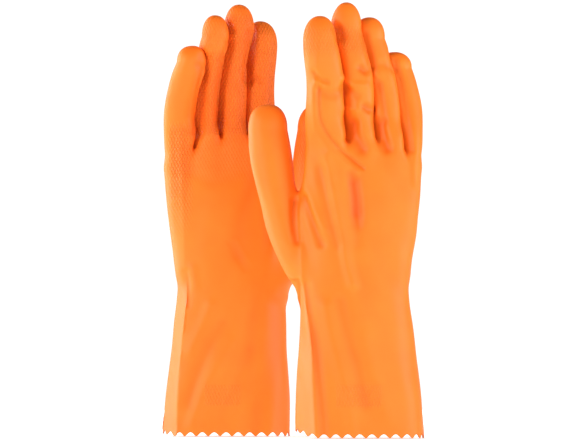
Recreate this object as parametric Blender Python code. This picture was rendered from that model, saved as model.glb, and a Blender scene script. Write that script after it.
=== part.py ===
"""A pair of household rubber gloves with pinked cuffs, standing upright on their cuffs.

Each glove is a dip-moulded latex skin with a flock lining bonded inside it. The skin bends where its digits
leave the hand, so each digit is a body of its own that hinges on a crease line across its palm side.
One glove shows its palm to -Y, and the other, turned half round and standing nearer, shows its back.
Metres, +Z up, origin on the floor midway between the two gloves.
"""

import math

import bmesh
import bpy
from mathutils import Vector

# Driving dimensions of one glove, in its own frame: palm to -Y, thumb to +X, cuff rim at z = 0.
GLOVE_LENGTH = 0.305
WRIST_HEIGHT = 0.100
DECK_HEIGHT = 0.210  # where the fingers leave the hand
THUMB_ROOT_HEIGHT = 0.172
THUMB_TIP_HEIGHT = 0.2335

# The latex skin and the flock lining, with the gap that separate solids keep.
SKIN = 0.0006
GAP = 0.0003
FLOCK = 0.0004
CUT_PAST = 0.002  # how far a cutter runs on past the wall that it opens
LINING_START = 0.012  # the flock stops short of the cut rim

# The pinked rim.
TEETH = 30
TOOTH_DEPTH = 0.0032
TOOTH_TIP_SHARE = 0.26  # of the pitch, cut flat at the tip and at the valley
RIM_BAND = 0.008

# How the two gloves stand.
GLOVE_SPACING = 0.094
DEPTH_SPACING = 0.100

BODY_SIDES = 30
DIGIT_SIDES = 12
CUTTER_SIDES = 16
DOME_ANGLES = (0, 32, 58)
DIGIT_LEVELS = 4

# Cross-sections of the cuff and of the hand: height, centre x, half width, centre y, half depth.
CUFF_SECTIONS = (
    (0.0, 0.0, 0.0443, 0.0, 0.0290),
    (0.050, 0.0010, 0.0418, 0.0, 0.0265),
    (WRIST_HEIGHT, 0.0035, 0.0380, 0.0, 0.0235),
)
HAND_SECTIONS = (
    (WRIST_HEIGHT, 0.0035, 0.0380, 0.0, 0.0235),
    (0.125, 0.0015, 0.0388, 0.0, 0.0190),
    (0.150, 0.0005, 0.0408, 0.0, 0.0170),
    (0.180, -0.0020, 0.0425, 0.0, 0.0164),
    (DECK_HEIGHT, -0.0031, 0.0425, 0.0, 0.0146),
)
THUMB_BASE_SECTIONS = (
    (0.104, 0.0300, 0.0090, -0.0020, 0.0150),
    (0.125, 0.0420, 0.0140, -0.0035, 0.0155),
    (0.150, 0.0515, 0.0142, -0.0050, 0.0140),
    (THUMB_ROOT_HEIGHT, 0.0582, 0.0135, -0.0060, 0.0125),
)
BODY_POWER = 2.5  # superellipse: a little boxier than an ellipse
DIGIT_POWER = 2.1

# Each finger: centre x at the root and at the tip, tip height, forward lean of root and tip, half width.
FINGERS = {
    "little_finger": {"x": (-0.0356, -0.0262), "top": 0.2735, "y": (-0.0010, -0.0105), "half": 0.0090},
    "ring_finger": {"x": (-0.0152, -0.0072), "top": 0.2955, "y": (0.0, -0.0085), "half": 0.0096},
    "middle_finger": {"x": (0.0059, 0.0104), "top": GLOVE_LENGTH, "y": (0.0008, -0.0060), "half": 0.0101},
    "index_finger": {"x": (0.0277, 0.0280), "top": 0.2940, "y": (0.0014, -0.0025), "half": 0.0105},
}
FINGER_DEPTH = 0.0101  # half depth at the root
FINGER_TAPER = 0.78  # of the root's size, where the domed tip begins
FINGER_DOME = 0.0115
FINGER_HINGE_HEIGHT = 0.220
THUMB_AXIS = ((THUMB_ROOT_HEIGHT, 0.0582, -0.0060), (0.194, 0.0620, -0.0075), (THUMB_TIP_HEIGHT, 0.0650, -0.0100))
THUMB_HALF = (0.0133, 0.0123)
THUMB_TAPER = 0.92
THUMB_DOME = 0.0150
THUMB_HINGE_HEIGHT = 0.180
THUMB_HINGE_TURN = math.radians(25)  # the thumb folds forward and a little across the palm
HINGE_CLEARANCE = 0.0004
CORNER_ALLOWANCE = 1.06  # the faceted thumb reaches a little past its ellipse

LATEX = {"colour": (1.0, 0.27, 0.035, 1.0), "roughness": 0.42}
FLOCK_LINING = {"colour": (1.0, 0.62, 0.36, 1.0), "roughness": 0.95}


def material(name, look):
    made = bpy.data.materials.new(name)
    made.use_nodes = True
    shader = made.node_tree.nodes["Principled BSDF"]
    shader.inputs["Base Color"].default_value = look["colour"]
    shader.inputs["Roughness"].default_value = look["roughness"]
    shader.inputs["Metallic"].default_value = 0.0
    return made


def superellipse(centre_x, half_x, centre_y, half_y, z, sides, power):
    """Points of a closed ring at height z, starting at +X and going round towards +Y."""
    points = []
    for i in range(sides):
        angle = math.tau * i / sides
        c, s = math.cos(angle), math.sin(angle)
        x = math.copysign(abs(c) ** (2 / power), c)
        y = math.copysign(abs(s) ** (2 / power), s)
        points.append(Vector((centre_x + half_x * x, centre_y + half_y * y, z)))
    return points


def body_rings(sections, inset, sides=BODY_SIDES):
    return [
        superellipse(x, half_x - inset, y, half_y - inset, z, sides, BODY_POWER)
        for z, x, half_x, y, half_y in sections
    ]


def between(sections, z):
    """The section at height z, between the two that enclose it."""
    for low, high in zip(sections, sections[1:]):
        if z <= high[0]:
            share = (z - low[0]) / (high[0] - low[0])
            return tuple(a + (b - a) * share for a, b in zip(low, high))
    return sections[-1]


def add_rings(mesh, rings):
    return [[mesh.verts.new(point) for point in ring] for ring in rings]


def bridge(mesh, low, high, outward=True):
    """Triangles between two rings of equal count, split the same way in every layer so that the layers stay apart."""
    for i in range(len(low)):
        j = (i + 1) % len(low)
        for corners in ((low[i], low[j], high[j]), (low[i], high[j], high[i])):
            mesh.faces.new(corners if outward else corners[::-1])


def cap(mesh, ring, point, outward=True):
    """A fan from a ring to one point."""
    tip = mesh.verts.new(point)
    for i in range(len(ring)):
        corners = (ring[i], ring[(i + 1) % len(ring)], tip)
        mesh.faces.new(corners if outward else corners[::-1])


def bridge_all(mesh, rings, outward=True):
    for low, high in zip(rings, rings[1:]):
        bridge(mesh, low, high, outward)


def make_object(name, mesh, look, parent):
    """Turns a bmesh, whose points are in the glove's frame, into an object under its parent."""
    bmesh.ops.recalc_face_normals(mesh, faces=mesh.faces)
    data = bpy.data.meshes.new(name)
    mesh.to_mesh(data)
    mesh.free()
    made = bpy.data.objects.new(name, data)
    bpy.context.collection.objects.link(made)
    made.parent = parent
    if look:
        data.materials.append(look)
        data.shade_smooth()
    return made


def solid_loft(name, rings, parent):
    """A closed loft with flat ends, used as a body to join or to cut with."""
    mesh = bmesh.new()
    loops = add_rings(mesh, rings)
    bridge_all(mesh, loops)
    mesh.faces.new(loops[0][::-1])
    mesh.faces.new(loops[-1])
    made = make_object(name, mesh, None, parent)
    made.hide_render = True
    made.display_type = "WIRE"
    return made


def boolean(target, cutter, operation):
    modifier = target.modifiers.new(cutter.name, "BOOLEAN")
    modifier.operation = operation
    modifier.object = cutter
    modifier.solver = "EXACT"


def pinked_ring(inset):
    """The rim: trapezoid teeth cut round the cuff, each with a flat tip that stands on the floor."""
    z0, x, half_x, y, half_y = between(CUFF_SECTIONS, 0.0)
    pitch = math.tau / TEETH
    flat = pitch * TOOTH_TIP_SHARE / 2
    ring = []
    for i in range(TEETH):
        middle = pitch * i
        for angle, z in (
            (middle, 0.0),
            (middle + flat, 0.0),
            (middle + pitch / 2 - flat, TOOTH_DEPTH),
            (middle + pitch / 2 + flat, TOOTH_DEPTH),
            (middle + pitch - flat, 0.0),
        ):
            c, s = math.cos(angle), math.sin(angle)
            px = math.copysign(abs(c) ** (2 / BODY_POWER), c)
            py = math.copysign(abs(s) ** (2 / BODY_POWER), s)
            ring.append(Vector((x + (half_x - inset) * px, y + (half_y - inset) * py, z0 + z)))
    return ring


def join_teeth(mesh, rim, ring, outward=True):
    """Joins the pinked rim to a plain ring with one side to each tooth."""
    per_tooth = len(rim) // len(ring)
    for i in range(len(ring)):
        j = (i + 1) % len(ring)
        low = [rim[(i * per_tooth + k) % len(rim)] for k in range(per_tooth + 1)]
        corners = (*low, ring[j], ring[i])
        made = mesh.faces.new(corners if outward else corners[::-1])
        bmesh.ops.triangulate(mesh, faces=[made])


def make_cuff_skin(name, parent, look):
    """The cuff from its pinked rim to just under the wrist: an open tube with a wall."""
    heights = (RIM_BAND, 0.050, WRIST_HEIGHT - GAP / 2)
    sections = [between(CUFF_SECTIONS, z) for z in heights]
    mesh = bmesh.new()
    walls = []
    for inset, outward in ((0.0, True), (SKIN, False)):
        rim = [mesh.verts.new(p) for p in pinked_ring(inset)]
        rings = add_rings(mesh, body_rings(sections, inset))
        join_teeth(mesh, rim, rings[0], outward)
        bridge_all(mesh, rings, outward)
        walls.append((rim, rings))
    bridge(mesh, walls[1][0], walls[0][0])
    bridge(mesh, walls[0][1][-1], walls[1][1][-1])
    return make_object(name, mesh, look, parent)


def make_cuff_lining(name, parent, look):
    heights = (LINING_START, 0.050, WRIST_HEIGHT - GAP / 2)
    sections = [between(CUFF_SECTIONS, z) for z in heights]
    mesh = bmesh.new()
    outer = add_rings(mesh, body_rings(sections, SKIN + GAP))
    inner = add_rings(mesh, body_rings(sections, SKIN + GAP + FLOCK))
    bridge_all(mesh, outer)
    bridge_all(mesh, inner, outward=False)
    bridge(mesh, inner[0], outer[0])
    bridge(mesh, outer[-1], inner[-1])
    return make_object(name, mesh, look, parent)


def finger_section(finger, z, inset, top):
    """Centre and half sizes of a finger at height z. It tapers, and its middle line leans forward as it rises."""
    share = (z - DECK_HEIGHT) / (top - DECK_HEIGHT)
    x = finger["x"][0] + (finger["x"][1] - finger["x"][0]) * share
    y = finger["y"][0] + (finger["y"][1] - finger["y"][0]) * share**1.7
    taper = 1 - (1 - FINGER_TAPER) * share
    return x, finger["half"] * taper - inset, y, FINGER_DEPTH * taper - inset


def domed_rings(section_at, root, top, dome, inset, sides):
    """Rings of a digit from its root to its domed tip, and the tip's own point."""
    shoulder = top - dome
    heights = [root + (shoulder - root) * i / (DIGIT_LEVELS - 1) for i in range(DIGIT_LEVELS)]
    rings = []
    for z in heights[:-1]:
        x, half_x, y, half_y = section_at(z, inset)
        rings.append(superellipse(x, half_x, y, half_y, z, sides, DIGIT_POWER))
    rise = dome - inset
    for angle in DOME_ANGLES:
        z = shoulder + rise * math.sin(math.radians(angle))
        shrink = math.cos(math.radians(angle))
        x, half_x, y, half_y = section_at(z, inset)
        rings.append(superellipse(x, half_x * shrink, y, half_y * shrink, z, sides, DIGIT_POWER))
    x, _, y, _ = section_at(top, inset)
    return rings, Vector((x, y, shoulder + rise))


def make_digit(name, section_at, root, top, dome, outset, inset, parent, look):
    """A closed-ended tube between two insets: the skin, or the lining inside it. Points are relative to the hinge."""
    mesh = bmesh.new()
    starts = []
    for depth, outward in ((outset, True), (inset, False)):
        rings, tip = domed_rings(section_at, root, top, dome, depth, DIGIT_SIDES)
        loops = add_rings(mesh, rings)
        bridge_all(mesh, loops, outward)
        cap(mesh, loops[-1], tip, outward)
        starts.append(loops[0])
    bridge(mesh, starts[1], starts[0])
    hinge = parent.location
    bmesh.ops.translate(mesh, verts=mesh.verts, vec=-hinge)
    return make_object(name, mesh, look, parent)


def thumb_section(z, inset):
    sections = [(h, x, THUMB_HALF[0], y, THUMB_HALF[1]) for h, x, y in THUMB_AXIS]
    _, x, half_x, y, half_y = between(sections, z)
    share = (z - THUMB_ROOT_HEIGHT) / (THUMB_TIP_HEIGHT - THUMB_ROOT_HEIGHT)
    taper = 1 - (1 - THUMB_TAPER) * share
    return x, half_x * taper - inset, y, half_y * taper - inset


def hinge_empty(name, place, frame):
    """An empty on a digit's crease line. The pieces that turn about it are its children."""
    made = bpy.data.objects.new(name, None)
    bpy.context.collection.objects.link(made)
    made.parent = frame
    made.location = place
    return made


def finger_hinge(prefix, name, finger, frame):
    """The crease across the finger's palm side."""
    x, _, y, half_y = finger_section(finger, FINGER_HINGE_HEIGHT, 0.0, finger["top"])
    front = y - max(half_y, FINGER_DEPTH) - HINGE_CLEARANCE
    return hinge_empty(f"{prefix}_{name}_hinge", Vector((x, front, FINGER_HINGE_HEIGHT)), frame)


def thumb_hinge(prefix, frame):
    """The crease across the thumb's palm side, turned so that the thumb folds across the palm."""
    x, half_x, y, half_y = thumb_section(THUMB_HINGE_HEIGHT, 0.0)
    across = Vector((math.sin(THUMB_HINGE_TURN), math.cos(THUMB_HINGE_TURN), 0.0))
    reach = math.hypot(THUMB_HALF[0] * across.x, THUMB_HALF[1] * across.y) * CORNER_ALLOWANCE + HINGE_CLEARANCE
    place = Vector((x, y, THUMB_HINGE_HEIGHT)) - across * reach
    return hinge_empty(f"{prefix}_thumb_hinge", place, frame)


def hand_body(name, inset, parent, cut_through):
    """The hand and the thumb's base as closed lofts. As a cutter it runs on past the open wrist and thumb root."""
    top = DECK_HEIGHT - inset
    foot = WRIST_HEIGHT + GAP / 2
    heights = [foot, 0.125, 0.150, 0.180, top]
    rings = body_rings([between(HAND_SECTIONS, z) for z in heights], inset)
    base = body_rings(THUMB_BASE_SECTIONS, inset, CUTTER_SIDES)
    if cut_through:
        rings.insert(0, [Vector((p.x, p.y, foot - CUT_PAST)) for p in rings[0]])
        base.append([Vector((p.x, p.y, p.z + CUT_PAST)) for p in base[-1]])
    palm = solid_loft(f"{name}_palm", rings, parent)
    thumb_base = solid_loft(f"{name}_thumb_base", base, parent)
    return palm, thumb_base


def make_hand(name, outset, inset, parent, look):
    """The hand between two insets, open at the wrist and at the root of each digit."""
    palm, thumb_base = hand_body(f"{name}_out", outset, parent, False)
    boolean(palm, thumb_base, "UNION")
    for cutter in hand_body(f"{name}_in", inset, parent, True):
        boolean(palm, cutter, "DIFFERENCE")
    for key, finger in FINGERS.items():
        x, half_x, y, half_y = finger_section(finger, DECK_HEIGHT, inset, finger["top"])
        rings = [
            superellipse(x, half_x, y, half_y, z, CUTTER_SIDES, DIGIT_POWER)
            for z in (DECK_HEIGHT - 2 * CUT_PAST, DECK_HEIGHT + CUT_PAST)
        ]
        boolean(palm, solid_loft(f"{name}_{key}_way", rings, parent), "DIFFERENCE")
    palm.name = name
    palm.data.materials.append(look)
    palm.hide_render = False
    palm.display_type = "TEXTURED"
    return palm


def make_glove(prefix, place, turn, latex, flock):
    """One glove, standing at place and turned about its upright axis."""
    frame = bpy.data.objects.new(f"{prefix}_frame", None)
    bpy.context.collection.objects.link(frame)
    frame.location = place
    frame.rotation_euler = (0.0, 0.0, turn)

    make_cuff_skin(f"{prefix}_cuff", frame, latex)
    make_cuff_lining(f"{prefix}_cuff_lining", frame, flock)
    make_hand(f"{prefix}_hand", 0.0, SKIN, frame, latex)
    make_hand(f"{prefix}_hand_lining", SKIN + GAP, SKIN + GAP + FLOCK, frame, flock)

    layers = (("", 0.0, SKIN, latex), ("_lining", SKIN + GAP, SKIN + GAP + FLOCK, flock))
    for key, finger in FINGERS.items():
        hinge = finger_hinge(prefix, key, finger, frame)
        top = finger["top"]

        def section_at(z, inset, finger=finger, top=top):
            return finger_section(finger, z, inset, top)

        for suffix, outset, inset, look in layers:
            name = f"{prefix}_{key}{suffix}"
            make_digit(name, section_at, DECK_HEIGHT + GAP, top, FINGER_DOME, outset, inset, hinge, look)
    hinge = thumb_hinge(prefix, frame)
    for suffix, outset, inset, look in layers:
        name = f"{prefix}_thumb{suffix}"
        root, tip = THUMB_ROOT_HEIGHT + GAP, THUMB_TIP_HEIGHT
        make_digit(name, thumb_section, root, tip, THUMB_DOME, outset, inset, hinge, look)


def main():
    for old in list(bpy.data.objects):
        bpy.data.objects.remove(old)
    latex = material("orange_latex", LATEX)
    flock = material("cotton_flock", FLOCK_LINING)
    across, back = GLOVE_SPACING / 2, DEPTH_SPACING / 2
    make_glove("palm_out", Vector((-across, back, 0.0)), 0.0, latex, flock)
    make_glove("back_out", Vector((across, -back, 0.0)), math.pi, latex, flock)


main()
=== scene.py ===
"""The looks of a pair of rubber gloves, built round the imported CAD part.

Each glove is one smooth latex skin. A hand-shaped field is made from tubes whose outlines are given by height, and a
mesh is netted over its surface on a regular lattice. Folds, wrinkles and knuckles are then pressed into that mesh. The
cuff is a loft down to the pinked rim. The skin is parted where the digits bend, above the webs between the fingers.
Lengths inside this script are millimetres in a glove's own frame: palm to -Y, thumb to +X, rim at z = 0.
"""

import math

import bpy
import numpy as np
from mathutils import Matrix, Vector


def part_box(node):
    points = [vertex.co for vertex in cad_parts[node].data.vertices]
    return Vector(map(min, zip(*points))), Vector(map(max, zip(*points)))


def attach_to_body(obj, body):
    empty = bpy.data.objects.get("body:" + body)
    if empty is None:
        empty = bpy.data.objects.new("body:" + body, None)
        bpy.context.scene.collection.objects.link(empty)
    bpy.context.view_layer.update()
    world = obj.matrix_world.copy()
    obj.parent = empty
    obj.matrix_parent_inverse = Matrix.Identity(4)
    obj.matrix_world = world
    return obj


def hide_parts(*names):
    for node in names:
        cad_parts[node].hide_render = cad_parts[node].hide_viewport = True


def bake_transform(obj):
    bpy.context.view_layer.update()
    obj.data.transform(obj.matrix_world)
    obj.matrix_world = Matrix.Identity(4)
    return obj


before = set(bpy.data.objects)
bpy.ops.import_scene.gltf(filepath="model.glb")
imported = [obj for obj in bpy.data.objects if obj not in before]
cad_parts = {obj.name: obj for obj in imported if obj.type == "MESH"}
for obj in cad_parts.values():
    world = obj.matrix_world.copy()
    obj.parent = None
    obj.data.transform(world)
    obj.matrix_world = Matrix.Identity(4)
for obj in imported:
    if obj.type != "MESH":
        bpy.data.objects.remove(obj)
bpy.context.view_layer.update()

MM = 0.001
SKIN_STEP, LINING_STEP = 1.0, 2.0  # lattice spacing of the netted hand
SKIN_ROW, LINING_ROW = 1.3, 4.0  # height of a row of the cuff's loft
TEETH = 30
TOOTH_DEPTH = 3.0
TOOTH_POWER = 1.4  # above 1, it rounds the hollows between the teeth
SKIN_COLUMNS, LINING_COLUMNS = 10 * TEETH, 120
SKIN_WALL = 0.6
LINING_INSET = 1.5
LINING_START = 12.0
INNER_WALL_TOP = LINING_START + 8
RIM_BAND = 9.0
CUFF_TOP = 88.0  # the loft ends and the netted hand begins here
CUFF_MIDDLE = 3.0  # angles round the top of the cuff are taken about this x
FINGER_CUT = 213.0
THUMB_CUT = 175.0
THUMB_SIDE = 43.3  # the thumb is beyond this x above its cut
HAND_REACH = ((-52.0, -34.0), (86.0, 34.0, 240.0))  # the netted hand's lowest x and y, and its highest x, y and z
FOLD_SHADE_DEPTH = 4.5  # a fold this deep gets the whole of the painted shade
DEEPEST_PUSH, HIGHEST_PUSH = -4.6, 2.0
WAVES, WAVE_HEIGHT, WAVE_PITCH = 14, 0.09, (0.10, 0.10, 0.05)  # the skin's own unevenness
PROBE = 0.05  # a field's slope is taken over this much to each side
LONGEST_MOVE = 0.8  # of a point, in one round of settling

DIGITS = ("thumb", "index_finger", "middle_finger", "ring_finger", "little_finger")

# Outlines by height: z, left edge, right edge, middle in depth, half depth.
HAND = (
    (0, -45.0, 45.0, 0, 29.4),
    (15, -43.8, 45.0, 0, 28.8),
    (29, -42.6, 44.9, 0, 28.2),
    (46, -40.6, 44.1, 0, 27.2),
    (63, -38.5, 42.6, 0, 26.2),
    (80, -36.9, 42.0, 0, 24.8),
    (97, -34.8, 41.6, 0, 23.2),
    (105, -34.3, 41.4, 0, 22.4),
    (114, -35.7, 41.2, 0, 21.4),
    (130, -37.8, 41.0, 0, 19.8),
    (150, -40.3, 41.4, 0, 18.6),
    (170, -42.6, 41.4, 0, 17.0),
    (185, -43.6, 39.0, 0, 15.2),
    (197, -44.0, 38.0, -0.3, 13.6),
    (207, -44.0, 38.0, -0.6, 12.6),
    (217, -44.0, 38.0, -0.8, 12.2),
)
THUMB = (
    (100, 24.0, 41.8, -2.0, 13.5),
    (105, 24.5, 44.4, -2.5, 14.3),
    (110, 25.0, 48.4, -3.0, 14.8),
    (127, 30.0, 58.0, -4.5, 15.2),
    (146, 37.2, 65.5, -6.0, 14.4),
    (162, 42.0, 69.3, -7.0, 13.6),
    (176, 45.0, 73.0, -7.6, 13.2),
    (190, 46.5, 76.2, -8.4, 13.2),
    (205, 48.4, 78.0, -9.4, 12.8),
    (216, 50.4, 78.4, -10.4, 12.4),
)
INDEX = (
    (184, 14.0, 34.0, 0.4, 12.8),
    (200, 12.8, 37.2, 0.8, 13.2),
    (215, 11.6, 38.0, 3.6, 12.3),
    (228, 11.0, 37.8, 7.2, 11.0),
    (240, 11.0, 37.4, 8.2, 10.8),
    (255, 12.0, 37.7, 9.0, 10.6),
    (265, 13.8, 38.7, 9.2, 10.4),
    (272, 15.2, 39.3, 9.1, 10.2),
    (278, 16.5, 39.5, 8.9, 9.9),
)
MIDDLE = (
    (184, -8.0, 14.0, -0.2, 12.8),
    (205, -8.8, 14.2, -0.2, 13.0),
    (222, -9.8, 14.8, 0.6, 11.8),
    (240, -10.2, 15.5, 0.4, 11.0),
    (255, -9.0, 15.0, -0.6, 10.6),
    (264, -7.0, 15.2, -1.3, 10.4),
    (272, -5.0, 16.4, -1.9, 10.2),
    (279, -2.9, 18.4, -2.4, 10.0),
    (286, -1.0, 19.9, -2.8, 9.6),
)
RING = (
    (184, -28.4, -8.8, -0.3, 12.8),
    (205, -29.6, -7.6, -1.2, 12.9),
    (222, -29.6, -5.6, -3.6, 11.6),
    (243, -28.2, -4.2, -7.0, 10.6),
    (255, -25.6, -2.8, -8.6, 10.3),
    (264, -22.8, -1.3, -9.7, 10.0),
    (273, -19.6, 0.7, -10.6, 9.6),
    (281.6, -16.3, 1.8, -11.2, 9.2),
)
LITTLE = (
    (180, -39.0, -30.0, -0.8, 11.6),
    (198, -43.0, -27.0, -1.8, 12.0),
    (212, -44.0, -23.6, -4.4, 11.0),
    (232, -43.7, -21.0, -10.0, 9.9),
    (244, -41.3, -18.8, -13.0, 9.7),
    (256, -37.8, -15.2, -15.2, 9.3),
    (264, -34.3, -14.4, -16.2, 8.8),
)
ROOT_DOME = 6.0
DOMES = {"thumb": 18.0, "index_finger": 17.4, "middle_finger": 19.0, "ring_finger": 15.0, "little_finger": 11.0}
# How high the hand reaches between the fingers: x, z.
WEB_LINE = ((-44, 195), (-34, 197.5), (-25, 200.5), (-15, 205), (-6, 208.5), (4, 208.5), (12, 207), (38, 203))
WEB_TILT = 0.1  # the webs are higher on the palm side
ROOT_SLANT = 0.42  # the gaps between the fingers' roots run slantwise through the hand
CUFF_POWER, HAND_POWER, DIGIT_POWER = 3.0, 2.5, 2.2  # 2 is an ellipse, and more is squarer
# How far the corners are rounded where two shapes meet.
WEB_ROUNDING, THUMB_ROUNDING, ROOT_ROUNDING, GAP_ROUNDING = 8.0, 8.0, 5.0, 1.6

# Folds pressed into the skin: side (-1 palm, 1 back), width, height, points (x, z).
PALM_OUT_FOLDS = (
    (-1, 2.4, -1.0, ((-28.2, 116), (-27.2, 104), (-27.4, 93))),
    (-1, 3.5, 0.8, ((-23.5, 118), (-22.0, 106))),
    (-1, 4.5, 1.0, ((-11, 92), (-18, 76), (-25, 60))),
    (-1, 4.5, -0.9, ((-3, 80), (-10, 66), (-20, 44), (-26, 24))),
    (-1, 5.0, 1.1, ((4, 66), (-4, 52), (-14, 34), (-24, 8))),
    (-1, 5.0, -0.9, ((16, 60), (8, 40), (-4, 14))),
    (-1, 5.0, 0.8, ((20, 34), (10, 18), (4, -4))),
    (-1, 4.0, -0.5, ((20, 96), (17, 70), (19, 40), (22, 0))),
    (-1, 2.2, -0.4, ((3, 136), (8, 126), (13, 118))),
    (-1, 2.2, 0.3, ((8, 138), (13, 128), (19, 121))),
    (-1, 6.0, -1.2, ((26, 190), (16, 172), (8, 150), (8, 128))),
    (-1, 5.0, -0.5, ((-24, 186), (-8, 180), (12, 186))),
    (-1, 3.0, -1.2, ((-19, 262), (-17, 268))),
    (-1, 4.4, -1.8, ((-19.6, 214), (-18.2, 236), (-15.6, 258))),
    (-1, 4.0, -1.7, ((-4.0, 222), (-3.2, 244), (2.4, 276))),
    (-1, 3.6, -2.2, ((15.6, 252), (16.4, 266), (17.4, 284))),
    (-1, 3.0, 0.9, ((-12, 281), (-14, 272))),
    (-1, 2.0, -1.4, ((17, 249), (21, 253), (24, 250))),
    (-1, 2.4, -1.4, ((2.6, 290), (4.4, 286))),
    (-1, 5.0, 0.9, ((-28, 266), (-31, 258))),
    (1, 3.0, -0.9, ((-20, 270), (-8, 272))),
    (1, 3.0, -0.9, ((16, 262), (34, 262))),
    (1, 3.0, -0.8, ((-8, 268), (12, 268))),
    (1, 3.5, -1.0, ((30, 205), (14, 190), (-4, 178))),
    (1, 3.0, -0.9, ((6, 170), (2, 150), (0, 126))),
    (1, 4.0, 0.9, ((18, 172), (12, 150), (6, 118))),
    (1, 4.5, 0.9, ((20, 90), (8, 60), (-8, 30))),
    (1, 4.5, -0.7, ((0, 84), (-10, 58), (-24, 30))),
)
BACK_OUT_FOLDS = (
    (1, 3.2, -1.6, ((38, 108), (35, 88), (31.4, 66), (28.5, 40), (26, 16), (25, -4))),
    (1, 5.0, 1.3, ((24, 92), (20, 70), (13, 48), (8, 30))),
    (1, 4.5, -1.0, ((14, 96), (10, 76), (2, 50), (-4, 24))),
    (1, 4.0, 1.0, ((8, 24), (4, -4))),
    (1, 5.5, 0.8, ((-4, 70), (-12, 44), (-20, 14))),
    (1, 1.3, -1.3, ((28.5, 247), (29, 240), (27.5, 224), (23, 214), (13.5, 202), (-2, 189))),
    (1, 2.6, 1.3, ((31.5, 246), (32.5, 232), (30, 216), (24, 206), (14, 195), (2, 186))),
    (1, 4.4, -1.7, ((4.4, 178), (2.8, 168), (2.2, 158))),
    (1, 4.0, -1.3, ((5.4, 186), (2.8, 168), (1.8, 150))),
    (1, 3.6, -0.7, ((6.0, 192), (2.8, 168), (1.8, 136))),
    (1, 3.6, 2.2, ((24, 198), (18.3, 174), (13.4, 147), (8.4, 120), (5, 108))),
    (1, 4.0, -1.2, ((28, 188), (25, 172), (20, 152), (15, 136))),
    (1, 3.0, -2.0, ((39, 168), (34, 153), (27.5, 136))),
    (1, 3.0, 1.2, ((40, 192), (38, 176), (32, 160), (25, 146))),
    (1, 3.0, -2.4, ((45.5, 166), (46, 152), (44, 138))),
    (1, 3.6, -2.0, ((15.5, 287), (13.5, 281))),
    (1, 2.8, -2.4, ((-1, 259), (-4, 257))),
    (1, 2.8, 1.3, ((12, 252), (4, 247), (-4, 247))),
    (1, 3.6, -1.6, ((10, 246), (3, 240))),
    (1, 2.8, -2.4, ((-4, 232), (-7, 230))),
    (1, 3.0, 1.3, ((9, 231), (3, 230))),
    (1, 4.6, -3.0, ((5, 220), (3.4, 212), (-1, 203))),
    (1, 3.8, -2.6, ((-15, 220), (-16.6, 211), (-19, 203))),
    (1, 3.4, -1.4, ((-3.6, 282), (-9, 260))),
    (1, 3.2, -1.5, ((-25, 264), (-30, 243), (-33, 222), (-35.5, 202))),
    (1, 2.0, -1.5, ((31.5, 256), (27.5, 251), (23, 249.5))),
    (1, 2.0, 1.3, ((30, 250), (27, 247))),
    (1, 3.4, -1.3, ((28, 243), (20, 240), (14, 242))),
    (1, 3.0, -1.0, ((-16, 262), (-24, 258))),
    (1, 3.4, -1.8, ((-13, 248), (-16, 232), (-17, 224))),
    (-1, 3.0, -0.9, ((-22, 269), (-10, 273))),
    (-1, 3.0, -0.8, ((18, 250), (34, 252))),
    (-1, 3.0, -0.7, ((-6, 268), (12, 270))),
    (-1, 5.0, -0.9, ((24, 190), (14, 172), (6, 150), (6, 128))),
    (-1, 3.0, -0.6, ((-30, 186), (-12, 181), (10, 186))),
    (-1, 4.5, 1.0, ((-4, 88), (-14, 62), (-26, 30))),
    (-1, 4.5, -0.7, ((10, 80), (2, 54), (-12, 22))),
)
# Sharp ridges: side, width to the left and right of the line as x grows, height, points (x, z).
PALM_OUT_RIDGES = (
    (-1, 6.0, 6.0, 1.2, ((-28.2, 104), (-29.0, 130), (-30.0, 160), (-31.0, 190))),
    (-1, 2.2, 8.0, 1.1, ((21.0, 240), (21.4, 262), (23.6, 296))),
)
BACK_OUT_RIDGES = (
    (1, 3.5, 5.0, 1.2, ((27.0, 200), (31.0, 214), (31.2, 240), (29.5, 262), (26.5, 292))),
    (1, 2.4, 2.4, 1.3, ((39.4, 100), (40.6, 125), (41.6, 150), (42.2, 174))),
)
# The cuff's flat side, from a sharp corner to the outline: side, which edge, inner width, corner height, how far the
# rim rises towards the outline, points (x, z).
PALM_OUT_CORNER = ((-35.4, -4), (-34.4, 29), (-31.7, 59), (-29.7, 79), (-27.8, 98), (-27.6, 116))
BACK_OUT_CORNER = ((30.8, -4), (32.5, 34), (34.0, 64), (37.0, 88), (39.6, 100), (42.0, 116))
PALM_OUT_FACET = (-1, -1, 5.5, 2.6, 1.8, PALM_OUT_CORNER)
BACK_OUT_FACET = (1, 1, 4.6, 3.2, 4.6, BACK_OUT_CORNER)
FACET_FADE = (118, 26)  # the flat side ends at this height, and fades over this much below it
FACET_SHARPNESS = 0.7
CORNER_WIDTH = 2.0
# The embossed patch on each cuff: side, x from and to, z from and to.
PATCH = {"palm_out": (-1, (-15.5, 11.0), (21.0, 37.0)), "back_out": (1, (-16.0, 17.0), (21.0, 38.0))}
PATCH_EDGE = 1.2
# How raised the grip is on some digits, which also sets how much painted shade its grooves get: the digit's number,
# its lowest and highest point, amount.
GRIP = ((1, 183, 222, 0.5), (2, 202, 296, 0.8), (3, 200, 302, 0.9), (4, 198, 276, 0.9))


# Fields and curves


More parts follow.
